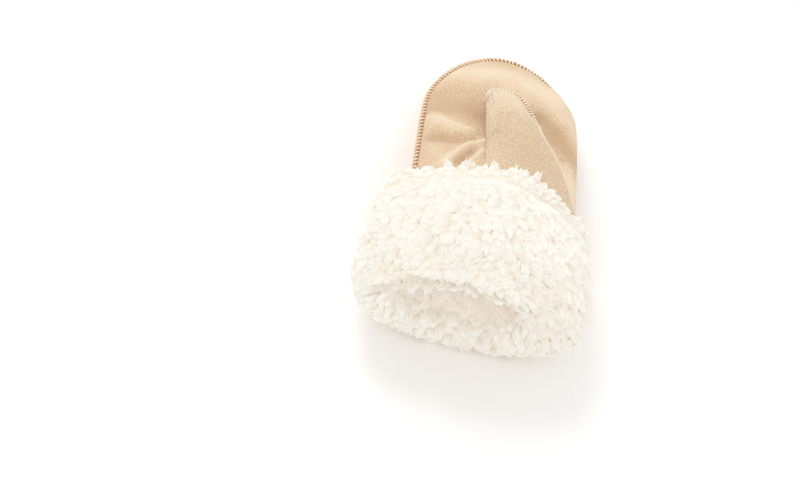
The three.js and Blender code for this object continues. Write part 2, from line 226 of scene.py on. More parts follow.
# The suede's tone is painted light and shade over its brushed nap: lighter on lit ridges, darker in hollows.
# Each patch of painted light and shade: its path, its width, and how light (above 0) or dark it lies.
PAINTED_LIGHT_AND_NAP_PATCHES = {
    "light along the fingertips": ([(-32, 112), (38, 96)], 20, 0.85),
    "dark above the thumb": ([(-40, 66), (-18, 44)], 17, -0.85),
    "dark by the outer seam": ([(-42, 48), (-36, 44)], 7, -0.5),
    "light on the crease": ([(-46, 40), (-34, 25), (-22, 17)], 4.5, 0.9),
    "dark below the crease": ([(-42, 15), (-30, 9), (-20, 9)], 6, -0.9),
    "light on the ridge": ([(-34, -21), (-28, -10.5), (-20.5, 1), (-12, 6)], 3.6, 1.1),
    "light by the cuff": ([(-45, 3), (-35, -12)], 4, 0.3),
    "dark at the thumb root": ([(-26, -18), (-18, -4)], 3.6, -0.7),
    "light by the thumb root": ([(-19, -20), (-13, -3)], 3, 0.9),
    "light at the thumb side": ([(20, 90), (49, 50)], 9, 0.5),
    "dark beside the thumb": ([(22, 54), (36, 34), (44, 20)], 9, -1.5),
    "light below the thumb": ([(42, 4), (50, -30)], 5, 0.8),
}
# Each fold of the palm: its path, its width, and its rise in millimetres.
PALM_FOLDS = {
    "crease across the fingers": ([(-47.5, 42), (-34, 26), (-20, 18)], 4, 3.0),
    "hollow above the thumb": ([(-38, 70), (-17, 48)], 14, -3.4),
    "valley below the crease": ([(-44, 14), (-30, 10), (-20, 11)], 5.5, -3.6),
    "ridge down to the cuff": ([(-46, 4), (-36, -12)], 3.6, 2.2),
    "ridge to the thumb": ([(-34, -21), (-28, -10.5), (-20.5, 1), (-8, 8)], 3.4, 4.0),
    "valley at the thumb root": ([(-26, -18), (-17, -2)], 3.6, -3.4),
    "small ridge at the cuff": ([(-20, -22), (-13, -4)], 2.6, 2.6),
    "bed of the thumb": ([(8, 12), (-6, 62)], 15, -4),
    "long ridge at the thumb side": ([(6, 98), (48, 52)], 7, 2.4),
    "valley beside the thumb": ([(22, 52), (42, 27)], 7, -3.8),
    "fold at the thumb side": ([(32, 18), (51, 7)], 4.2, 3.0),
}
WALL = 2.4
ROUNDING_FROM_Y = 60.0
ROUNDING_POWER = 2.3
TIP_FALL_POWER = 1.5
TIP_RIM_WIDTH = 3.6
TIP_RIM_FROM_Y = 80
TIP_RIM_OVER = 35
CORNER_OVER_X = 30
CORNER_TIP_FALL = 0.6
CORNER_SIDE_FALL = 0.3
SHELL_END_Y = -102.0
HIDDEN_FROM_Y = -72.0
RIM_WIDTH = 2.4
RIM_THICKNESS = 1.4
HALF_GAP = 0.15
EDGE_STEP = 0.3
ROW_CROWDING = 1.55
HAND_SECTIONS = {
    "at": [-130, -90, -45, 0, 50, 100, 140],
    "half_width": [52, 51.5, 51, 51.5, 51.5, 50, 46],
    "seam": [41, 40, 37, 31, 24, 16, 9],
    "crown": [20, 19, 17.5, 17, 15.5, 13.5, 11],
    "belly": [25, 22, 19, 27, 25, 16.5, 8.5],
    "edge": [1.05, 1.1, 1.2, 1.3, 1.3, 1.3, 1.3],
}
CENTRE_VALLEY_WIDTH = 5.0
CENTRE_VALLEY_RISE = 1.8
ROLL_SIDE_FROM = 122.0
ROLL_SIDE_FULL = 104.0
ROLL_REACH_FROM = 0.94
ROLL_REACH_OVER = 0.06
ROLL_POWER = 0.45
ROLL_DROP = 2.0
TUCK = 2.4
CORNER_Y = 106.0
CORNER_LENGTH = 26.0
CORNER_EASE_RIGHT = 4.0
CORNER_EASE_LEFT = 2.0
FLAT_BELOW = 0.02
TINY = 1e-6


def along(table, column, at):
    """A smooth curve through one column of a table."""
    stations, values = np.array(table["at"], float), np.array(table[column], float)
    slopes = np.empty_like(values)
    slopes[1:-1] = (values[2:] - values[:-2]) / (stations[2:] - stations[:-2])
    slopes[0] = (values[1] - values[0]) / (stations[1] - stations[0])
    slopes[-1] = (values[-1] - values[-2]) / (stations[-1] - stations[-2])
    at = np.clip(at, stations[0], stations[-1])
    row = np.clip(np.searchsorted(stations, at, side="left") - 1, 0, len(stations) - 2)
    span = stations[row + 1] - stations[row]
    t = (at - stations[row]) / span
    straight = values[row] + (values[row + 1] - values[row]) * t * t * (3 - 2 * t)
    return straight + span * t * (1 - t) * ((1 - t) * slopes[row] - t * slopes[row + 1])


def smooth(t):
    return t * t * (3 - 2 * t)


def rounded_end(at, start, end):
    t = np.clip((at - start) / (end - start), 0, 1)
    return np.sqrt(np.maximum(1 - t**ROUNDING_POWER, 0))


def hand_half_width(y, inset=0.0):
    rounding = rounded_end(y, ROUNDING_FROM_Y, FINGERTIP_Y - inset)
    return (along(HAND_SECTIONS, "half_width", y) - inset) * rounding


def reach_across(x, y, inset=0.0):
    """How far out a place of the hand is, 0 on its middle line and 1 at its edge."""
    return np.abs(x) / np.maximum(hand_half_width(y, inset), TINY)


def hand_puff(x, y):
    """How far the pile inside puffs the hand out, 0 on the flat rim and 1 on the middle line."""
    towards_tip = np.clip((y - TIP_RIM_FROM_Y) / TIP_RIM_OVER, 0, 1)
    corner = np.clip(-x / CORNER_OVER_X, 0, 1) * towards_tip
    rim = RIM_WIDTH + (TIP_RIM_WIDTH - RIM_WIDTH) * towards_tip
    across = np.clip(reach_across(x, y, rim), 0, 1)
    tip_power = TIP_FALL_POWER + CORNER_TIP_FALL * corner
    side_power = along(HAND_SECTIONS, "edge", y) / 2 + CORNER_SIDE_FALL * corner
    tip_fall = rounded_end(y, ROUNDING_FROM_Y, FINGERTIP_Y - TIP_RIM_WIDTH) ** tip_power
    return (1 - across**2) ** side_power * tip_fall


def puffed_share(x, y):
    """0 on the flat rim and 1 where the hand is puffed enough to carry folds."""
    return np.minimum(2 * hand_puff(x, y), 1)


def flat_rim(x, y):
    return np.where(hand_puff(x, y) < FLAT_BELOW, 1.0, 0.0)


def seam_height(y):
    return along(HAND_SECTIONS, "seam", y)


def palm_form(x, y):
    return seam_height(y) + RIM_THICKNESS + along(HAND_SECTIONS, "crown", y) * hand_puff(x, y)


def distance_to(path, x, y):
    """How far each place is from a path of straight stretches."""
    nearest = np.full(np.shape(x), 1e3)
    for (x0, y0), (x1, y1) in zip(path[:-1], path[1:]):
        run_x, run_y = x1 - x0, y1 - y0
        t = np.clip(((x - x0) * run_x + (y - y0) * run_y) / (run_x**2 + run_y**2), 0, 1)
        nearest = np.minimum(nearest, np.hypot(x - x0 - t * run_x, y - y0 - t * run_y))
    return nearest


def soft_lines(lines, x, y):
    """The sum at each place of lines that fade to both sides, each with its path, width and amount."""
    return sum(
        amount * np.exp(-((distance_to(path, x, y) / width) ** 2)) for path, width, amount in lines.values())


def painted_light_and_nap_lay(x, y, patches):
    """Painted light and shade with the nap's brushing: -1 where it looks dark, 1 where it looks light."""
    return np.clip(soft_lines(patches, x, y), -1, 1)


def palm_top(x, y):
    return palm_form(x, y) + soft_lines(PALM_FOLDS, x, y) * puffed_share(x, y)


def back_bottom(x, y):
    puff = hand_puff(x, y)
    puffed = seam_height(y) - RIM_THICKNESS - along(HAND_SECTIONS, "belly", y) * puff
    valley = CENTRE_VALLEY_RISE * np.exp(-((x / CENTRE_VALLEY_WIDTH) ** 2))
    return np.maximum(puffed, 0) + valley * puff


def soft_noise(points, size, seed):
    """Smooth noise between -1 and 1 at each point, with lumps of the stated size."""
    offset = Vector((seed * 17.3, seed * 5.1, seed * 9.7))
    return np.array([noise.noise(Vector(p) / size + offset) for p in points])


def grid_sheet(name, columns, rows):
    """A flat grid whose corners run from 0 to 1 in x and y."""
    deselect()
    bpy.ops.mesh.primitive_grid_add(
        x_subdivisions=columns, y_subdivisions=rows, size=1, location=(0.5, 0.5, 0))
    bpy.ops.object.transform_apply(location=True)
    sheet = bpy.context.object
    sheet.name = name
    return sheet


def corners_of(piece):
    places = np.empty(len(piece.data.vertices) * 3)
    piece.data.vertices.foreach_get("co", places)
    return places.reshape(-1, 3)


def move_corners(piece, x, y, z):
    """Puts the corners where millimetres in the mitten's own coordinates say."""
    places = np.stack([np.asarray(x) + CENTRE_X, np.asarray(y) + CENTRE_Y, np.asarray(z)], 1) * MM
    piece.data.vertices.foreach_set("co", places.ravel())
    piece.data.update()


def finish_sheet(piece, thickness, outward_up, closed):
    """Gives a sheet its thickness inwards from the shaped face, and smooth shading."""
    bpy.context.view_layer.objects.active = piece
    deselect()
    piece.select_set(True)
    bpy.ops.object.mode_set(mode="EDIT")
    bpy.ops.mesh.select_all(action="SELECT")
    if closed:
        bpy.ops.mesh.remove_doubles(threshold=0.01 * MM)
    if not outward_up:
        bpy.ops.mesh.flip_normals()
    bpy.ops.object.mode_set(mode="OBJECT")
    solidify = piece.modifiers.new("thickness", "SOLIDIFY")
    solidify.thickness = thickness * MM
    solidify.offset = -1
    bpy.ops.object.modifier_apply(modifier=solidify.name)
    bpy.ops.object.shade_smooth()


def suede_finish(name, tone):
    finish = Finish(name)
    slant = {"Vector": finish.place(), "Rotation": (0, 0, 0.6), "Scale": (1, 0.5, 1)}
    slanted = finish.node("ShaderNodeMapping", {}, slant, "Vector")
    grain = finish.noise(1150, 2.5, 0.65, slanted)
    specks = finish.noise(1900, 1.0, 0.5, slanted)
    brushed = finish.noise(60, 4.0, 0.65)
    light = finish.mix(finish.spread(grain, 0.38, 0.62), tone["dark"], tone["light"])
    mottled = finish.mix(finish.spread(specks, 0.34, 0.46), tone["speck"], light)
    patchy = finish.mix(finish.spread(brushed, 0.35, 0.65) * 0.3, mottled, tone["patch"])
    # Painted light and shade: above 0 the attribute mixes in the lighter nap tone, below 0 the darker one.
    painted_light_and_nap = finish.attribute("painted_light_and_nap")
    lighter = finish.mix(finish.spread(painted_light_and_nap, 0, 1) * 0.7, patchy, tone["painted_light_nap_up"])
    darker = finish.mix(finish.spread(painted_light_and_nap, 0, -1) * 0.65, lighter, tone["painted_shade_nap_down"])
    # The seam rim's darker tone is partly its own brown and partly painted shade between the stitches.
    base = finish.mix(finish.attribute("seam"), darker, tone["seam"])
    nap = finish.bump(grain + specks * 0.6, 0.8 * MM, 0.8)
    return finish.done(base, 0.95, 0.1, {
        "Normal": nap, "Sheen Weight": 0.25, "Sheen Roughness": 0.5, "Sheen Tint": colour(255, 240, 220)})


# The hand's tones; its lighter and darker nap tones also carry painted light and painted shade.
SUEDE = suede_finish("brushed_suede", {
    "dark": colour(214, 185, 152),
    "light": colour(243, 218, 187),
    "speck": colour(194, 163, 129),
    "patch": colour(236, 209, 178),
    "painted_light_nap_up": colour(250, 234, 208),
    "painted_shade_nap_down": colour(196, 162, 126),
    # Partly the rim's own brown and partly painted shade between the stitches.
    "seam": colour(182, 138, 98),
})


def set_attribute(piece, name, values):
    stored = piece.data.attributes.new(name, "FLOAT", "POINT")
    stored.data.foreach_set("value", np.asarray(values, np.float32))


def rows_between(start, end, share):
    """Rows that crowd together towards the end."""
    return start + (end - start) * (1 - (1 - share) ** ROW_CROWDING)


def hand_row(share):
    return rows_between(SHELL_END_Y, FINGERTIP_Y - LAST_ROW_INSET, share)


def columns_across(share):
    """Columns from -1 to 1 that crowd together at both edges."""
    return np.sin((share - 0.5) * np.pi)


def ride_and_replace(piece, node):
    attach(piece, "root")
    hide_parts(node)


def sew_in(panel, place, material, wall, outward_up, node, closed=False):
    """Shapes a panel, gives it its wall and puts it in the solid one's place. closed joins its two ends."""
    move_corners(panel, *place)
    panel.data.materials.append(material)
    finish_sheet(panel, wall, outward_up, closed)
    ride_and_replace(panel, node)


def side_roll(x, y):
    """1 on the thumb side of the hand, where the palm rolls over and hides the seam, and 0 elsewhere."""
    t = np.clip((ROLL_SIDE_FROM - y) / (ROLL_SIDE_FROM - ROLL_SIDE_FULL), 0, 1)
    return np.where(x > 0, smooth(t), 0.0)


def rolled_edge(x, y):
    """How far out in its last sixteenth a point of the rolled side is, 0 to 1."""
    return np.clip((reach_across(x, y) - ROLL_REACH_FROM) / ROLL_REACH_OVER, 0, 1) * side_roll(x, y)


def full_puff(x, y):
    """The puff of a side without a flat rim."""
    reach = np.clip(reach_across(x, y), 0, 1)
    return (1 - reach**2) ** ROLL_POWER * rounded_end(y, ROUNDING_FROM_Y, FINGERTIP_Y) ** TIP_FALL_POWER


def eased(x, y):
    """The outline's corners beside the fingertips are a little softer than the flat pattern's."""
    most = np.where(x > 0, CORNER_EASE_RIGHT, CORNER_EASE_LEFT)
    ease = most * np.exp(-(((y - CORNER_Y) / CORNER_LENGTH) ** 2))
    return x - np.sign(x) * ease * np.clip(reach_across(x, y), 0, 1) ** 3


def palm_panel():
    panel = grid_sheet("palm_suede", 84, 130)
    share = corners_of(panel)
    y = hand_row(share[:, 1])
    x = hand_half_width(y) * columns_across(share[:, 0])
    roll, edge = side_roll(x, y), rolled_edge(x, y)
    puff = hand_puff(x, y)
    puff = puff + (np.maximum(full_puff(x, y), puff) - puff) * roll
    spots = np.stack([x, y, 0 * x], 1)
    lumps = soft_noise(spots, 26.0, 1) * 0.9 + soft_noise(spots, 11.0, 2) * 0.3
    hidden = np.clip((HIDDEN_FROM_Y - y) / (HIDDEN_FROM_Y - SHELL_END_Y), 0, 1)
    z = seam_height(y) + RIM_THICKNESS + along(HAND_SECTIONS, "crown", y) * puff * (1 - 0.5 * hidden)
    z = z + (soft_lines(PALM_FOLDS, x, y) + lumps) * puffed_share(x, y) - ROLL_DROP * edge
    # Painted light and shade on the folds and beside the thumb, with a random lay of the nap.
    set_attribute(panel, "painted_light_and_nap", painted_light_and_nap_lay(x, y, PAINTED_LIGHT_AND_NAP_PATCHES) + 0.25 * soft_noise(spots, 17.0, 6))
    set_attribute(panel, "seam", flat_rim(x, y) * (1 - roll))
    sew_in(panel, (eased(x, y) - TUCK * edge**2, y, z), SUEDE, WALL, True, "palm_panel")


def back_panel(side, node):
    panel = grid_sheet(node.replace("panel", "suede"), 36, 110)
    share = corners_of(panel)
    y = hand_row(share[:, 1]) - EDGE_STEP
    x = side * (HALF_GAP + (hand_half_width(y) - EDGE_STEP - HALF_GAP) * np.sin(share[:, 0] * np.pi / 2))
    spots = np.stack([x, y, 0 * x + 40], 1)
    floor_share = np.clip(back_bottom(x, y) / 3, 0, 1)
    z = back_bottom(x, y) + soft_noise(spots, 24.0, 3) * 0.8 * puffed_share(x, y) * floor_share
    set_attribute(panel, "painted_light_and_nap", 0.45 * soft_noise(spots, 30.0, 7) + 0.2)
    set_attribute(panel, "seam", flat_rim(x, y))
    sew_in(panel, (eased(x, y) - TUCK * rolled_edge(x, y) ** 2, y, z), SUEDE, WALL, side < 0, node)


palm_panel()
back_panel(1, "back_panel_thumb_side")
back_panel(-1, "back_panel_outer_side")

# The thumb. Its front is one suede panel that runs on down under the cuff, and its back is a second one that
# lies on the palm. Both are flat at their shared seam and puffed up between.

THUMB_ROOT = np.array([23.0, -41.0])
THUMB_TIP = np.array([-6.7, 66.2])
THUMB_AXIS = THUMB_TIP - THUMB_ROOT
THUMB_LENGTH = float(np.hypot(*THUMB_AXIS))
THUMB_ACROSS = np.array([THUMB_AXIS[1], -THUMB_AXIS[0]]) / THUMB_LENGTH
THUMB_START = -0.12
THUMB_BACK_START = 0.40
THUMB_ROUNDING_FROM = 0.88
THUMB_LAST_ROW = 0.997
THUMB_PUFF_END = 0.99
THUMB_BELLY = 5.0
THUMB_EDGE = 1.1
GAP = 0.3
THUMB_SECTIONS = {
    "at": [-0.15, 0, 0.25, 0.42, 0.6, 0.75, 1],
    "half_width": [29, 27.5, 23, 19.7, 16.7, 14.5, 12],
    "crown": [4, 6.5, 8.5, 8.5, 7.5, 6.2, 3.0],
    "lift": [0, 0, 0.2, 1.3, 2.8, 4.0, 5.2],
    "settle": [1, 1, 0.95, 0.9, 0.85, 0.8, 0.8],
}
THUMB_EASE = {
    "at": [-0.15, 0.08, 0.25, 0.5, 0.65, 0.8, 0.9, 1],
    "left": [4.0, 3.8, 3.6, 1.6, 0.3, -1.6, -2.2, -0.5],
    "right": [-2.0, 1.5, 4.0, 1.8, 2.2, 2.6, 1.4, 0.2],
}
# Painted light and shade on the thumb with its nap: lighter at the tip and along its lit far edge.
THUMB_PAINTED_LIGHT_AND_NAP = {
    "light at the tip": ([(-8, 62), (8, 44)], 13, 0.6),
    "light along the far edge": ([(19, 41), (33, 10), (48, -24)], 2.6, 1.0),
    "darker at the root": ([(-4, 10), (20, -20)], 16, -0.4),
}
# Shares of the thumb's length: where the front begins to roll over its seam and where it has rolled, and where
# the stitches of the tip start.
ROLL_LEFT = (0.99, 0.93)
ROLL_RIGHT = (0.74, 0.58)
STITCHED_LEFT = 0.78
STITCHED_RIGHT = 0.6
THUMB_ROLL_DROP = 1.3
THUMB_FRONT_WALL = 1.3
THUMB_BACK_WALL = 1.2
THUMB_SEAM_WIDTH = 3.2


def thumb_point(share, across):
    """A point share of the way from the thumb's root to its tip, and millimetres across."""
    return [THUMB_ROOT[i] + THUMB_AXIS[i] * share + THUMB_ACROSS[i] * across for i in range(2)]


def thumb_place(share, across):
    """A point of the thumb's panels, across from -1 to 1, on its soft outline."""
    x, y = thumb_point(share, across * thumb_half_width(share))
    wider = np.where(across < 0, -along(THUMB_EASE, "left", share), along(THUMB_EASE, "right", share))
    wider = wider * np.abs(across) ** 1.5
    return x + THUMB_ACROSS[0] * wider, y + THUMB_ACROSS[1] * wider


def thumb_half_width(share):
    return along(THUMB_SECTIONS, "half_width", share) * rounded_end(share, THUMB_ROUNDING_FROM, 1)


def thumb_seam_height(share, x, y):
    axis_x = thumb_point(share, 0)[0]
    settled = axis_x + (x - axis_x) * along(THUMB_SECTIONS, "settle", share)
    return np.maximum(palm_form(settled, y), palm_top(x, y)) + GAP + along(THUMB_SECTIONS, "lift", share)


def thumb_puff(share, across):
    inner = np.maximum(1 - RIM_WIDTH / np.maximum(thumb_half_width(share), TINY), TINY)
    reach = np.minimum(np.abs(across) / inner, 1)
    return (1 - reach**2) ** (THUMB_EDGE / 2) * rounded_end(share, THUMB_ROUNDING_FROM, THUMB_PUFF_END)


def thumb_front_top(share, across):
    x, y = thumb_point(share, across * thumb_half_width(share))
    crown = along(THUMB_SECTIONS, "crown", share) * thumb_puff(share, across)
    return thumb_seam_height(share, x, y) + RIM_THICKNESS + crown


def thumb_roll(share, across):
    """1 where the thumb's front rolls over its seam, below the stitched tip."""
    start, full = (np.where(across < 0, left, right) for left, right in zip(ROLL_LEFT, ROLL_RIGHT))
    return smooth(np.clip((start - share) / (start - full), 0, 1))


def thumb_front():
    panel = grid_sheet("thumb_front_suede", 56, 90)
    corner = corners_of(panel)
    share = rows_between(THUMB_START, THUMB_LAST_ROW, corner[:, 1])
    across = columns_across(corner[:, 0])
    x, y = thumb_place(share, across)
    roll = thumb_roll(share, across)
    full = (1 - np.abs(across) ** 2.2) ** 0.5 * rounded_end(share, THUMB_ROUNDING_FROM, THUMB_PUFF_END)
    puff = thumb_puff(share, across)
    puff = puff + (np.maximum(full, puff) - puff) * roll
    spots = np.stack([x, y, 0 * x + 80], 1)
    z = thumb_seam_height(share, x, y) + RIM_THICKNESS + along(THUMB_SECTIONS, "crown", share) * puff
    edge = np.clip((np.abs(across) - 0.93) / 0.07, 0, 1) * roll
    lift = along(THUMB_SECTIONS, "lift", share)
    z = z + soft_noise(spots, 18.0, 4) * 0.5 * puff - (THUMB_ROLL_DROP + lift) * edge
    inset = np.minimum((1 - np.abs(across)) * thumb_half_width(share), (1 - share) * THUMB_LENGTH)
    stitched = np.clip((share - np.where(across < 0, STITCHED_LEFT, STITCHED_RIGHT)) / 0.03, 0, 1)
    # Painted highlight: the rolled edges below the stitched tip are lighter, as the turned nap catches light.
    left_edge_highlight, right_edge_highlight = 0.35 * np.exp(-((inset / 1.5) ** 2)), np.exp(-(((inset - 2.4) / 1.6) ** 2))
    painted_edge_highlight = np.where(across < 0, left_edge_highlight, right_edge_highlight) * (1 - stitched)
    set_attribute(panel, "painted_light_and_nap", painted_light_and_nap_lay(x, y, THUMB_PAINTED_LIGHT_AND_NAP) + 0.2 * soft_noise(spots, 14.0, 8) + 1.4 * painted_edge_highlight)
    set_attribute(panel, "seam", np.clip(THUMB_SEAM_WIDTH - inset, 0, 1) * stitched)
    sew_in(panel, (x, y, z), THUMB_SUEDE, THUMB_FRONT_WALL, True, "thumb_front_panel")
    return panel


def thumb_back():
    panel = grid_sheet("thumb_back_suede", 36, 60)
    corner = corners_of(panel)
    share = rows_between(THUMB_BACK_START, THUMB_LAST_ROW, corner[:, 1])
    across = columns_across(corner[:, 0])
    x, y = thumb_place(share, across * (1 - 0.07 * thumb_roll(share, across)))
    seam = thumb_seam_height(share, x, y)
    belly = THUMB_BELLY * thumb_puff(share, across)
    z = np.maximum(seam - RIM_THICKNESS - belly, palm_top(x, y) + GAP)
    set_attribute(panel, "painted_light_and_nap", np.full(len(x), -0.3))
    set_attribute(panel, "seam", np.zeros(len(x)))
    sew_in(panel, (x, y, z), THUMB_SUEDE, THUMB_BACK_WALL, False, "thumb_back_panel")


# The thumb's tones; its lighter and darker nap tones also carry painted light and painted shade.
THUMB_SUEDE = suede_finish("thumb_suede", {
    "dark": colour(212, 186, 155),
    "light": colour(243, 221, 193),
    "speck": colour(192, 163, 131),
    "patch": colour(234, 210, 180),
    "painted_light_nap_up": colour(250, 235, 210),
    "painted_shade_nap_down": colour(200, 170, 136),
    # Partly the rim's own brown and partly painted shade between the stitches.
    "seam": colour(188, 148, 110),
})
thumb_piece = thumb_front()
thumb_back()

# The overcast seam of the hand. A soft cotton thread whips over the flat rims of palm and back, out of a
# needle hole, over the edge and in on the other side. On the thumb side it lies on the rolled wall.

SEAM_START_Y = -62.0
SEAM_PITCH_SIDE = 4.1
SEAM_PITCH_TIP = 3.0
SEAM_THREAD = 0.72
# The points of a stitch over the flat rim and on the wall: millimetres out from the seam, on along it, and up.
RIM_STITCH = np.array([
    (-2.5, 0.8, 0.5), (-2.2, 0.9, 1.5), (-1.2, 0.5, 1.8), (-0.3, -0.2, 1.4), (0.3, -0.7, 0.0),
    (-0.3, -0.8, -1.4), (-1.2, -0.8, -1.8), (-2.2, -0.7, -1.5), (-2.5, -0.6, -0.5)])
WALL_STITCH = np.array([
    (-0.4, 0.8, 3.7), (0.4, 0.9, 3.4), (0.6, 0.5, 2.4), (0.65, -0.2, 1.2), (0.55, -0.7, -0.1),
    (0.0, -0.8, -0.9), (-0.9, -0.8, -1.1), (-1.8, -0.7, -1.0), (-2.2, -0.6, -0.2)])
WIDE_FROM_LEFT = 65.0
WIDE_FROM_RIGHT = 100.0
WIDE_OVER = 35.0
WIDER_AT_TIP = 0.35
TURN_LIFT = np.array([0.7, 0.0, 0.7])
HOLE_RADIUS = 0.6
HOLE_DEPTH = 0.5
HOLE_OUT, HOLE_ON, HOLE_UP = -2.3, -1.0, 1.4
OUTLINE_POINTS = 400
THREAD_SIDES = 6
SMOOTH_FROM_CORNERS = 31
FLOOR_GAP = 0.1


def tube_pattern(sides, stations, pointed):
    """One upright cone or rod, cut across at each station: its corners' angles, their stations, its faces."""
    deselect()
    bpy.ops.mesh.primitive_cone_add(
        vertices=sides, radius1=1, radius2=0 if pointed else 1, depth=1, location=(0, 0, 0.5))
    bpy.ops.object.transform_apply(location=True)
    rod = bpy.context.object
    bpy.ops.object.mode_set(mode="EDIT")
    for station in range(1, stations - 1):
        bpy.ops.mesh.select_all(action="SELECT")
        bpy.ops.mesh.bisect(plane_co=(0, 0, station / (stations - 1)), plane_no=(0, 0, 1))
    bpy.ops.object.mode_set(mode="OBJECT")
    corners = corners_of(rod)
    angle = np.arctan2(corners[:, 1], corners[:, 0])
    station = np.rint(corners[:, 2] * (stations - 1)).astype(int)
    faces = [list(face.vertices) for face in rod.data.polygons]
    bpy.data.meshes.remove(rod.data)
    return angle, station, faces


def joined_tubes(name, pattern, lines, radii, side, material, node):
    """One mesh with a copy of the pattern along each line of points in millimetres. side is a way across."""
    angle, station, faces = pattern
    count, stations = lines.shape[:2]
    run = np.gradient(lines, axis=1)
    run /= np.maximum(np.linalg.norm(run, axis=2, keepdims=True), 1e-9)
    side = side[:, None] - run * np.sum(side[:, None] * run, 2, keepdims=True)
    side /= np.maximum(np.linalg.norm(side, axis=2, keepdims=True), 1e-9)
    over = np.cross(run, side)
    ring = np.cos(angle)[:, None] * side[:, station] + np.sin(angle)[:, None] * over[:, station]
    places = (lines[:, station] + radii[:, station, None] * ring).reshape(-1, 3)
    places[:, 2] = np.maximum(places[:, 2], FLOOR_GAP)
    places = (places + np.array([CENTRE_X, CENTRE_Y, 0])) * MM
    loops = np.concatenate([np.array(face) for face in faces])
    starts = np.concatenate([[0], np.cumsum([len(face) for face in faces])[:-1]])
    copies = np.arange(count)[:, None]
    mesh = bpy.data.meshes.new(name)
    mesh.vertices.add(len(places))
    mesh.vertices.foreach_set("co", places.ravel())
    mesh.loops.add(len(loops) * count)
    mesh.loops.foreach_set("vertex_index", (loops + copies * len(angle)).ravel().astype(np.int32))
    mesh.polygons.add(len(faces) * count)
    mesh.polygons.foreach_set("loop_start", (starts + copies * len(loops)).ravel().astype(np.int32))
    mesh.update(calc_edges=True)
    if len(angle) >= SMOOTH_FROM_CORNERS:
        mesh.shade_smooth()
    else:
        mesh.shade_flat()
    mesh.materials.append(material)
    piece = bpy.data.objects.new(name, mesh)
    bpy.context.collection.objects.link(piece)
    ride_and_replace(piece, node)
    return piece


def seam_frames(outline, pitch):
    """Points one pitch apart along a seam's line, with the ways on, out and up at each."""
    steps = np.linalg.norm(np.diff(outline, axis=0), axis=1)
    length = np.concatenate([[0], np.cumsum(steps)])
    stitches = np.concatenate([[0], np.cumsum(steps / pitch)])
    at = np.interp(np.arange(0.5, stitches[-1]), stitches, length)
    behind, middle, ahead = (
        np.stack([np.interp(at + step, length, line) for line in outline.T], 1) for step in (-0.5, 0, 0.5))
    on = ahead - behind
    on /= np.linalg.norm(on, axis=1, keepdims=True)
    out = np.cross(np.array([0, 0, 1.0]), on)
    out /= np.linalg.norm(out, axis=1, keepdims=True)
    return middle, on, out, np.cross(on, out)


def threads(name, lines, radius, on, draw, material, node):
    """One mesh of short threads along the lines."""
    radii = np.full(lines.shape[:2], radius) * draw.uniform(0.88, 1.1, (len(lines), 1))
    pattern = tube_pattern(THREAD_SIDES, lines.shape[1], False)
    joined_tubes(name, pattern, lines, radii, on, material, node)


def needle_holes(name, places, up, on, radius, node):
    """One mesh of small dark dips, painted shade where the needle went in beside each thread."""
    steps = np.array([-0.5, 0.5])[:, None] * HOLE_DEPTH
    lines = places[:, None] + steps * up[:, None]
    pattern = tube_pattern(THREAD_SIDES, 2, False)
    joined_tubes(name, pattern, lines, np.full(lines.shape[:2], radius), on, HOLE_SHADE, node)


def hand_seam_line():
    """The seam's line round the hand, from the cuff on the outer side to the cuff on the thumb side."""
    left_y = SEAM_START_Y + (FINGERTIP_Y - SEAM_START_Y) * QUARTER_TURN
    y = np.concatenate([left_y, left_y[-2::-1]])
    x = BOTH_SIDES * hand_half_width(y)
    x = eased(x, y) - 1.15 * TUCK * side_roll(x, y)
    return np.stack([x, y, seam_height(y) - 1.2 * side_roll(x, y)], 1)


def whip_stitches():
    outline = hand_seam_line()
    towards_tip = np.clip((outline[1:, 1] - WIDE_FROM_RIGHT) / WIDE_OVER, 0, 1)
    pitch = SEAM_PITCH_SIDE + (SEAM_PITCH_TIP - SEAM_PITCH_SIDE) * towards_tip
    middle, on, out, up = seam_frames(outline, pitch)
    draw = np.random.default_rng(11)
    count = len(middle)
    wide_from = np.where(middle[:, 0] < 0, WIDE_FROM_LEFT, WIDE_FROM_RIGHT)
    wide = np.clip((middle[:, 1] - wide_from) / WIDE_OVER, 0, 1)[:, None, None]
    stretch = draw.uniform(0.9, 1.1, (count, 1, 1)) * (1 + WIDER_AT_TIP * wide)
    slip = draw.normal(0, 0.14, (count, 1, 1))
    share = side_roll(middle[:, 0], middle[:, 1])[:, None, None]
    shape = RIM_STITCH * (1 - share) + WALL_STITCH * share + 4 * share * (1 - share) * TURN_LIFT
    lines = middle[:, None] + shape[..., :1] * stretch * out[:, None] \
        + (shape[..., 1:2] + slip) * on[:, None] + shape[..., 2:] * up[:, None]
    threads("hand_seam_stitches", lines, SEAM_THREAD, on, draw, THREAD, "palm_panel")
    holes = middle + HOLE_OUT * out + HOLE_ON * on + HOLE_UP * up
    flat = share[:, 0, 0] < 0.1
    needle_holes("hand_needle_holes", holes[flat], up[flat], on[flat], HOLE_RADIUS, "palm_panel")


def thread_finish(name, dark, light):
    finish = Finish(name)
    grain = finish.noise(1800, 2.0, 0.6)
    tone = finish.mix(finish.spread(grain, 0.3, 0.7), dark, light)
    return finish.done(tone, 0.8, 0.25, {"Normal": finish.bump(grain, 0.2 * MM, 0.5), "Sheen Weight": 0.25})


THREAD = thread_finish("cream_thread", colour(242, 218, 186), colour(253, 238, 215))
# Painted shade: the needle holes are small dark brown dips.
HOLE_SHADE = Finish("needle_hole_shade").done(colour(168, 124, 84), 1.0, 0.0, {})
QUARTER_TURN = np.sin(np.linspace(0, np.pi / 2, OUTLINE_POINTS))
BOTH_SIDES = np.concatenate([-np.ones(OUTLINE_POINTS), np.ones(OUTLINE_POINTS - 1)])
whip_stitches()

# The seam down the back. The two halves of the back are joined along the middle, and the same thread crosses
# their seam in short flat stitches.

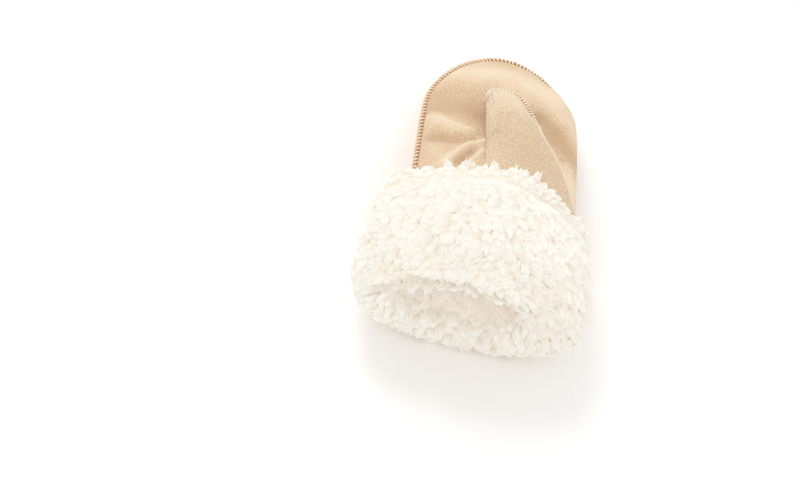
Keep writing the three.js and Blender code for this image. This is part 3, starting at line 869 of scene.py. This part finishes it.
CENTRE_PITCH = 2.7
CENTRE_THREAD = 0.55
CENTRE_END_Y = FINGERTIP_Y - 8
CENTRE_ACROSS = np.array([-1.7, -1.3, -0.5, 0.5, 1.3, 1.7])
CENTRE_DOWN = np.array([-0.5, 0.2, 0.6, 0.6, 0.2, -0.5])
CENTRE_SLANT = 0.35


def centre_stitches():
    y = np.linspace(CENTRE_END_Y, SEAM_START_Y, 600)
    centre = np.stack([0 * y, y, back_bottom(0 * y, y)], 1)
    middle, on, _, _ = seam_frames(centre, CENTRE_PITCH)
    draw = np.random.default_rng(13)
    slip = draw.normal(0, 0.1, (len(middle), 1, 1))
    lines = middle[:, None] + CENTRE_ACROSS[:, None] * np.array([1.0, 0, 0]) \
        + (CENTRE_SLANT * CENTRE_ACROSS[:, None] + slip) * on[:, None] \
        - CENTRE_DOWN[:, None] * np.array([0, 0, 1.0])
    threads("back_seam_stitches", lines, CENTRE_THREAD, on, draw, THREAD, "back_panel_thumb_side")


centre_stitches()

# The seam round the thumb's tip. A paler thread lies over the edge in short stitches from the upper face.
# Below them the front panel rolls over and hides its seam.

THUMB_PITCH = 2.8
THUMB_THREAD = 0.56
THUMB_HOLE_RADIUS = 0.4
TIP_REACH = 3.0
TIP_SHARES = (1.0, 0.7, 0.4, 0.12)
TIP_SLANT = 1.1
TIP_SHIFT = 0.3


def thumb_seam_line():
    left = STITCHED_LEFT + 0.215 * QUARTER_TURN
    right = STITCHED_RIGHT + 0.395 * QUARTER_TURN
    share = np.concatenate([left, right[-2::-1]])
    x, y = thumb_place(share, BOTH_SIDES)
    return np.stack([x, y, thumb_seam_height(share, x, y)], 1)


def drop(piece, x, y, otherwise):
    """The height of the piece's upper face over a place, in millimetres."""
    above = Vector((x + CENTRE_X, y + CENTRE_Y, 200.0)) * MM
    hit, where, _, _ = piece.ray_cast(above, Vector((0, 0, -1)))
    return where.z / MM if hit else otherwise


def tip_stitches():
    middle, on, out, _ = seam_frames(thumb_seam_line(), THUMB_PITCH)
    draw = np.random.default_rng(12)
    lines, holes = [], []
    for place, forward, outward in zip(middle, on, out):
        reach = TIP_REACH * draw.uniform(0.85, 1.15)
        height, line = place[2], []
        for share in TIP_SHARES:
            at = place - outward * reach * share + forward * (TIP_SLANT * share - TIP_SHIFT)
            height = drop(thumb_piece, at[0], at[1], height)
            line.append((at[0], at[1], height + 0.25 - 0.6 * (share == 1.0)))
        edge = place + outward * 0.45 - forward * 0.5
        under = place - outward * 1.3 - forward * 0.6
        line.append((edge[0], edge[1], height - 0.8))
        line.append((under[0], under[1], height - 1.6))
        lines.append(line)
        hole = place - outward * reach * 0.98 + forward * (TIP_SLANT - THUMB_PITCH / 2 - TIP_SHIFT)
        holes.append((hole[0], hole[1], drop(thumb_piece, hole[0], hole[1], place[2] - 10) - 0.05))
    threads("thumb_seam_stitches", np.array(lines), THUMB_THREAD, on, draw, PALE_THREAD, "thumb_front_panel")
    holes = np.array(holes)
    over = holes[:, 2] > middle[:, 2] - 1.0
    up = np.tile([0.0, 0.0, 1.0], (over.sum(), 1))
    needle_holes("thumb_needle_holes", holes[over], up, on[over], THUMB_HOLE_RADIUS, "thumb_front_panel")


PALE_THREAD = thread_finish("pale_thread", colour(248, 232, 208), colour(255, 248, 235))
tip_stitches()

# The knitted backing of the sherpa cuff. One layer starts at the wrist, lies over the outside, rolls in at the
# mouth and runs on down inside it as the lining. The mouth's lower lip lies tucked back.

CUFF_SECTIONS = {
    "at": [-141, -136, -128, -100, -70, -50, -38],
    "half_width": [51, 59, 65, 69, 67, 65, 59.5],
    "top": [64, 69, 72, 76, 77, 71, 65.5],
    "bottom": [14, 7, 1, -5, -4, 0, 12],
    "shift": [-7.3, -7.2, -7, -6.4, -5.6, -4.6, -4],
}
MOUTH_SECTIONS = {
    "at": [-142, -136, -128, -95, -62],
    "half_width": [38, 37, 36, 38, 42],
    "half_height": [20, 18, 17, 13, 13.5],
    "height": [41.5, 42, 42.3, 40, 37.5],
    "shift": [-18, -17, -15, -5, 0],
}
MOUTH_SQUARENESS = 0.85
PILE_DEPTH = 5.5
INNER_PILE_DEPTH = 5.0
ROLL_REACH = 8.5
GROUND_RISE = 2.7
THROAT_CLOSING = 12.0
THROAT_SHARE = 0.3
EDGE_SLANT = 13.0
SHOULDER_DROP = 5.0
LOWER_LIP_TUCK = 12.0
LIFT_OFF_HAND = 1.2
LIFTED_FROM_Y = -90
SUNK_IN_HAND = 0.5
EDGE_BULGE = 4.5
FAR_OUT = 90.0
HALVINGS = 18
SURFACE_LOW = 1.2
GROUND_LOW = 1.0
GROUND_WALL = 0.8
EDGE_Y = -42.0
ROLL_Y = -129.0
INNER_END_Y = -66.0
ANGLES = 240
EDGE_ROWS = 14
OUTER_ROWS = 92
ROLL_ROWS = 26
INNER_ROWS = 66


def cuff_outer(angle, y):
    top = along(CUFF_SECTIONS, "top", y) - PILE_DEPTH
    bottom = along(CUFF_SECTIONS, "bottom", y) + PILE_DEPTH
    half_width = along(CUFF_SECTIONS, "half_width", y) - PILE_DEPTH
    middle = (top + bottom) / 2
    x = along(CUFF_SECTIONS, "shift", y) + half_width * np.sin(angle)
    shoulder = 2 * np.abs(np.sin(angle)) * np.maximum(np.cos(angle), 0)
    z = middle + (top - middle) * np.cos(angle) - SHOULDER_DROP * shoulder
    return np.stack([x, y + 0 * angle, z], -1)


def cuff_inner(angle, y, share):
    half_width = along(MOUTH_SECTIONS, "half_width", y) + INNER_PILE_DEPTH
    closing = np.clip(share / THROAT_SHARE, 0, 1)
    half_height = along(MOUTH_SECTIONS, "half_height", y) + INNER_PILE_DEPTH - THROAT_CLOSING * closing
    across, upward = (
        np.sign(part) * np.abs(part) ** MOUTH_SQUARENESS for part in (np.sin(angle), np.cos(angle)))
    x = along(MOUTH_SECTIONS, "shift", y) + half_width * across
    z = along(MOUTH_SECTIONS, "height", y) + half_height * upward
    return np.stack([x, y + 0 * angle, z], -1)


def inside_hand(x, y, z):
    in_palm = (np.abs(x) < hand_half_width(y)) & (z > back_bottom(x, y)) & (z < palm_top(x, y))
    share = ((x - THUMB_ROOT[0]) * THUMB_AXIS[0] + (y - THUMB_ROOT[1]) * THUMB_AXIS[1]) / THUMB_LENGTH**2
    across = ((x - THUMB_ROOT[0]) * THUMB_ACROSS[0] + (y - THUMB_ROOT[1]) * THUMB_ACROSS[1]) \
        / np.maximum(thumb_half_width(share), TINY)
    in_thumb = (np.abs(across) < 1) & (share > THUMB_START) & (z > seam_height(y)) \
        & (z < thumb_front_top(share, np.clip(across, -1, 1)))
    return in_palm | in_thumb


def hand_reach(points):
    """The hand's middle line at each point, the way from it to the point, and how far off the point and, that
    way, the hand's outside are."""
    middle = np.stack([0 * points[..., 1], points[..., 1], seam_height(points[..., 1])], -1)
    way = points - middle
    distance = np.linalg.norm(way, axis=-1, keepdims=True)
    way = way / distance
    low, high = np.zeros(distance.shape), np.full(distance.shape, FAR_OUT)
    for _ in range(HALVINGS):
        half = (low + high) / 2
        at = middle + way * half
        within = inside_hand(at[..., 0], at[..., 1], at[..., 2])[..., None]
        low, high = np.where(within, half, low), np.where(within, high, half)
    return middle, way, distance, high


def edge_slant(angle):
    """The turned-back edge lies nearer the mouth on the thumb side."""
    return -EDGE_SLANT * smooth(np.clip((np.sin(angle) + 0.05) / 0.9, 0, 1))


def lip_tuck(angle):
    """The lower lip lies further back than the upper one."""
    return LOWER_LIP_TUCK * np.clip((np.cos(angle - 3.3) + 0.3) / 1.3, 0, 1)


def cuff_surface():
    """The backing's rows from its edge at the wrist over the outer side and the roll down to its inner end."""
    angle = np.linspace(0, 2 * np.pi, ANGLES, endpoint=False)[None, :]
    forward = np.array([0, 1.0, 0])
    share = np.linspace(0, 1, OUTER_ROWS)[:, None]
    outer_y = EDGE_Y + (ROLL_Y - EDGE_Y) * share \
        + edge_slant(angle) * (1 - share) ** 1.5 + lip_tuck(angle) * share**2
    outer = cuff_outer(angle + 0 * outer_y, outer_y)
    middle, way, distance, reach = hand_reach(outer)
    near_edge = outer[..., 1:2] > LIFTED_FROM_Y
    outer = middle + way * np.where(near_edge, np.maximum(distance, reach + LIFT_OFF_HAND), distance)
    middle, way, distance, reach = hand_reach(outer[:1])
    contact = middle + way * np.minimum(reach - SUNK_IN_HAND, distance - SUNK_IN_HAND)
    sweep = np.linspace(0, np.pi, EDGE_ROWS + 2)[1:-1, None, None]
    edge = (contact + outer[:1]) / 2 - (outer[:1] - contact) / 2 * np.cos(sweep) \
        + forward * EDGE_BULGE * np.sin(sweep)
    edge[0] = contact
    share = np.linspace(0, 1, INNER_ROWS)[:, None]
    inner_y = ROLL_Y + (INNER_END_Y - ROLL_Y) * share + lip_tuck(angle) * (1 - share) ** 2
    inner = cuff_inner(angle + 0 * inner_y, inner_y, share)
    sweep = np.linspace(0, np.pi, ROLL_ROWS + 2)[1:-1, None, None]
    roll = (outer[-1:] + inner[:1]) / 2 + (outer[-1:] - inner[:1]) / 2 * np.cos(sweep) \
        - forward * ROLL_REACH * np.sin(sweep)
    return np.concatenate([edge, outer, roll, inner])


def unit(vectors):
    return vectors / np.maximum(np.linalg.norm(vectors, axis=-1, keepdims=True), 1e-9)


def surface_normals(surface):
    along_rows = np.gradient(surface, axis=0)
    round_it = (np.roll(surface, -1, 1) - np.roll(surface, 1, 1)) / 2
    normal = np.cross(along_rows, round_it)
    return unit(normal)


FIRST_OUTER = EDGE_ROWS
FIRST_ROLL = FIRST_OUTER + OUTER_ROWS
FIRST_INNER = FIRST_ROLL + ROLL_ROWS
LAST_ROW = FIRST_INNER + INNER_ROWS - 1


def lumpy(surface):
    """The surface with soft lumps, which fade out at its edge by the wrist."""
    flat = surface.reshape(-1, 3)
    lumps = soft_noise(flat, 24.0, 21) * 1.5 + soft_noise(flat, 10.0, 22) * 0.9
    calm = np.clip((np.arange(LAST_ROW + 1)[:, None, None] - 2) / 8, 0, 1)
    lumped = surface + surface_normals(surface) * lumps.reshape(surface.shape[:2])[..., None] * calm
    lumped[..., 2] = np.maximum(lumped[..., 2], SURFACE_LOW)
    return lumped


def pick(table, row, turn):
    """The table's value between its rows and angles. turn counts angle columns and runs round."""
    r0 = np.clip(np.floor(row).astype(int), 0, LAST_ROW - 1)
    a0 = np.floor(turn).astype(int)
    fr, fa = (row - r0)[:, None], (turn - a0)[:, None]
    a0, a1 = a0 % ANGLES, (a0 + 1) % ANGLES
    return (table[r0, a0] * (1 - fa) + table[r0, a1] * fa) * (1 - fr) \
        + (table[r0 + 1, a0] * (1 - fa) + table[r0 + 1, a1] * fa) * fr


def backing(name, first, last, node):
    """The knitted ground that the locks grow from."""
    sheet = grid_sheet(name, ANGLES // 2, (last - first) // 2)
    share = corners_of(sheet)
    row = first + share[:, 1] * (last - first)
    turn = share[:, 0] * ANGLES
    place = pick(surface, row, turn) + pick(normals, row, turn) * GROUND_RISE
    place[:, 2] = np.maximum(place[:, 2], GROUND_LOW)
    sew_in(sheet, place.T, GROUND, GROUND_WALL, False, node, True)


def ground_finish():
    finish = Finish("pile_ground")
    loops = finish.noise(700, 3.0, 0.6)
    # Painted shade: a little darker than the lock tips, for the deep pile; the loops vary at random.
    tone = finish.mix(finish.spread(loops, 0.3, 0.7), colour(231, 222, 208), colour(238, 231, 219))
    return finish.done(tone, 0.95, 0.05, {
        "Normal": finish.bump(loops, 0.5 * MM, 0.5),
        # Painted light: a faint glow, for the light that the pile scatters down into its gaps.
        "Emission Color": colour(255, 246, 231),
        "Emission Strength": 0.1,
    })


surface = lumpy(cuff_surface())
normals = surface_normals(surface)
GROUND = ground_finish()
backing("cuff_ground", 0, FIRST_INNER + 6, "cuff")
backing("lining_ground", FIRST_INNER + 4, LAST_ROW, "lining")

# The pile of the cuff. Tufts of soft curly locks stand in dense rows on the backing, and meet at their tips.
# They lie to the fingers at the wrist, to the mouth further back, and over the lip at the roll.

ROW_PACKING = 0.88
TUFT_SCATTER = 0.38
ROW_SCATTER = 0.55
SEEN_SLOPE = -0.6
UNSEEN_KEPT = 0.45
SWIRL_SIZE = 16.0
TUFT_WIDTH = 0.56
ROOT_SUNK = 0.8
STRAY_SHARE = 0.04
LOOSENESS = 0.12
FRONT_ROWS = 22
LOWEST_LOCK = 0.7
LOCK = tube_pattern(4, 4, True)
LOCK_AT = np.array([0.0, 0.4, 0.75, 1.0])
LOCK_WIDTH = np.array([1.1, 1.5, 1.35, 0.1])
TO_FINGERS = (0, 1, 0)
TO_MOUTH = (0, -1, -0.25)
OVER_LIP = (0, -0.45, -1)
OUT_OF_MOUTH = (0, -1, -0.2)
# Each zone: its name, its first and last row, its seed, the tufts' spacing, their locks and how wild they lie.
PILE_ZONES = [
    ("pile_at_the_edge", 1, FIRST_OUTER + 12, 30, 4.4, 13, 1.7),
    ("pile_by_the_hand", FIRST_OUTER + 12, FIRST_OUTER + 34, 31, 4.1, 12, 1.7),
    ("pile_of_the_turnback", FIRST_OUTER + 34, FIRST_OUTER + 66, 32, 4.1, 12, 1.2),
    ("pile_by_the_mouth", FIRST_OUTER + 66, FIRST_ROLL + 6, 33, 4.3, 13, 1.0),
    ("pile_of_the_rim", FIRST_ROLL + 6, FIRST_INNER + 6, 34, 4.4, 13, 1.4),
]
# The way the pile is combed, and the tufts' length, rise and droop in millimetres, each at some rows.
COMB_ROWS = [
    0, FIRST_OUTER + 6, FIRST_OUTER + 12, FIRST_ROLL - 12, FIRST_ROLL, FIRST_INNER, FIRST_INNER + 8, LAST_ROW]
COMB_WAYS = np.array([
    TO_FINGERS, TO_FINGERS, TO_MOUTH, TO_MOUTH, OVER_LIP, OVER_LIP, OUT_OF_MOUTH, OUT_OF_MOUTH])
SHAPE_ROWS = [0, 20, 40, FIRST_ROLL - 20, FIRST_ROLL, FIRST_INNER, LAST_ROW]
LENGTH = (SHAPE_ROWS, [7.5, 7, 6.8, 7.2, 6, 7.5, 8])
RISE = (SHAPE_ROWS, [3.8, 3.8, 4.2, 4.8, 4.4, 4.2, 4])
DROOP = ([0, 20, FIRST_ROLL - 20, FIRST_ROLL, FIRST_INNER, LAST_ROW], [0, 0, 0.2, 0.2, 0.6, 0.2])


def row_step(row):
    """How many millimetres one row of the surface is deep."""
    return max(ROW_GAPS[min(int(row), len(ROW_GAPS) - 1)], 0.2)


def pile_finish(name, tone):
    finish = Finish(name)
    fibre = finish.noise(2600, 2.0, 0.6)
    # Painted shade: darker towards the locks' roots, down among the tufts, lighter at their tips.
    shaded_root_to_tip = finish.mix(finish.spread(finish.attribute("tip"), 0.25, 0.75), tone["root"], tone["tip"])
    shaded = finish.mix(finish.attribute("shade") * 0.6, shaded_root_to_tip, tone["shade"])
    streaked = finish.mix(finish.spread(fibre, 0.35, 0.65) * 0.2, shaded, tone["shade"])
    # Painted light: a faint warm glow, for the light that the fleece scatters into its own shade.
    return finish.done(streaked, 0.95, 0.05, {
        "Emission Color": colour(255, 248, 235), "Emission Strength": tone["painted_glow"]})


def pile(name, first, last, node, seed, spacing, length, rise, locks, material, wild):
    """Tufts in rows over a part of the surface. Each is some locks that start apart and meet at its tip."""
    draw = np.random.default_rng(seed)
    rows, turns = [], []
    row = float(first)
    while row < last:
        ring = pick(surface, np.full(ANGLES, row), np.arange(ANGLES, dtype=float))
        around = np.linalg.norm(np.roll(ring, -1, 0) - ring, axis=1)
        reach = np.concatenate([[0], np.cumsum(around)])
        count = max(int(reach[-1] / spacing), 8)
        at = np.arange(count) + draw.uniform(0, 1) + draw.uniform(-TUFT_SCATTER, TUFT_SCATTER, count)
        at = at % count / count * reach[-1]
        turns.append(np.interp(at, reach, np.arange(ANGLES + 1)))
        rows.append(row + draw.uniform(-0.5, 0.5, count) * spacing * ROW_SCATTER / row_step(row))
        row += spacing * ROW_PACKING / row_step(row)
    row, turn = np.clip(np.concatenate(rows), first, last), np.concatenate(turns)
    base = pick(surface, row, turn)
    seen = (pick(normals, row, turn)[:, 2] > SEEN_SLOPE) | (draw.random(len(row)) < UNSEEN_KEPT)
    row, turn, base = row[seen], turn[seen], base[seen]
    normal = unit(pick(normals, row, turn))
    comb = np.stack([np.interp(row, COMB_ROWS, COMB_WAYS[:, i]) for i in range(3)], 1)
    sideways = base[:, 0] - along(CUFF_SECTIONS, "shift", base[:, 1])
    comb[:, 0] += 0.012 * sideways
    comb = unit(comb - normal * np.sum(comb * normal, 1, keepdims=True))
    swirl = soft_noise(base, SWIRL_SIZE, seed + 50) * 1.1 + draw.normal(0, 0.35, len(base))
    across = np.cross(normal, comb)
    comb = comb * np.cos(swirl)[:, None] + across * np.sin(swirl)[:, None]
    across = np.cross(normal, comb)
    size = draw.uniform(0.75, 1.3, (len(base), 1))
    long = np.interp(row, *length)[:, None] * size
    high = np.interp(row, *rise)[:, None] * (0.6 + 0.4 * size)
    hang = np.interp(row, *DROOP)[:, None]
    tip_rise = draw.uniform(0.15, 0.45, (len(base), 1)) + 0.2 * np.clip(row / FIRST_ROLL, 0, 1)[:, None]
    meet = base + comb * long + normal * high * tip_rise + np.array([0, 0, -1.0]) * hang
    spread = draw.uniform(-1, 1, (len(base), locks, 2)) * spacing * TUFT_WIDTH
    start = base[:, None] + across[:, None] * spread[..., :1] + comb[:, None] * spread[..., 1:] \
        - normal[:, None] * ROOT_SUNK
    stray = draw.random((len(base), locks, 1)) < STRAY_SHARE * wild
    loose = draw.normal(0, LOOSENESS, (len(base), locks, 3)) \
        + stray * (comb + normal)[:, None] * draw.uniform(0.4, 2.4, (len(base), locks, 1))
    end = meet[:, None] + loose + (start - base[:, None]) * 0.4 \
        + comb[:, None] * draw.normal(0, 0.24 * wild, (len(base), locks, 1))
    up = normal[:, None] * high[:, None]
    control = [start, start + up * 1.05, start + (end - start) * 0.72 + up * 0.75, end]
    curl = draw.normal(0, 0.12, (len(base), locks, 3))
    lines = []
    for t in LOCK_AT:
        weights = [(1 - t) ** 3, 3 * t * (1 - t) ** 2, 3 * t * t * (1 - t), t**3]
        lines.append(sum(w * c for w, c in zip(weights, control)) + curl * np.sin(t * 2 * np.pi))
    lines = np.stack(lines, 2).reshape(-1, len(LOCK_AT), 3)
    lines[..., 2] = np.maximum(lines[..., 2], LOWEST_LOCK)
    thick = LOCK_WIDTH * draw.uniform(0.85, 1.1, (len(lines), 1)) * np.where(stray.reshape(-1, 1), 0.5, 1.0)
    chord = unit((end - start).reshape(-1, 3))
    side = np.cross(np.repeat(normal, locks, 0), chord) + np.repeat(across, locks, 0) * 0.2
    side += draw.normal(0, 0.1, side.shape)
    piece = joined_tubes(name, LOCK, lines, thick, unit(side), material, node)
    set_attribute(piece, "tip", np.tile(LOCK_AT[LOCK[1]], len(lines)))
    # Painted shade on the front by the roll, out of the light from above and behind, plus random variation.
    front = np.exp(-(((row - FIRST_ROLL) / FRONT_ROWS) ** 2)) * np.clip((base[:, 2] - 35) / 15, 0, 1)
    shade = np.repeat(0.25 * draw.uniform(0, 1, len(base)) + 0.5 * front, locks)
    shade = shade + draw.uniform(0, 0.1, len(lines))
    set_attribute(piece, "shade", np.repeat(shade, len(LOCK[0])))


ROW_GAPS = np.linalg.norm(np.diff(surface, axis=0), axis=-1).mean(1)
# The darker root tone is painted shade among the locks, and the glow painted light.
PILE = pile_finish("sherpa_pile", {
    "root": colour(231, 223, 210),
    "tip": colour(245, 244, 241),
    "shade": colour(230, 224, 213),
    "painted_glow": 0.07,
})
for zone, first, last, seed, spacing, locks, wild in PILE_ZONES:
    pile(zone, first, last, "cuff", seed, spacing, LENGTH, RISE, locks, PILE, wild)

# The pile inside the mouth. The lining carries the same locks, a little longer. They lie out of the mouth, and
# their paler tone keeps them as light as the real ones in its shade.

INNER_ROWS_OF_PILE = (FIRST_INNER + 6, FIRST_INNER + 40)
INNER_SHAPE_ROWS = [FIRST_INNER, FIRST_INNER + 12, LAST_ROW]
INNER_LENGTH = (INNER_SHAPE_ROWS, [8, 9, 9])
INNER_RISE = (INNER_SHAPE_ROWS, [4.5, 5, 5])
INNER_PILE = pile_finish("inner_pile", {
    "root": colour(241, 234, 226),
    "tip": colour(248, 245, 241),
    "shade": colour(241, 234, 226),
    "painted_glow": 0.045,
})
pile("pile_inside", *INNER_ROWS_OF_PILE, "lining", 35, 4.6, INNER_LENGTH, INNER_RISE, 12, INNER_PILE, 1.2)
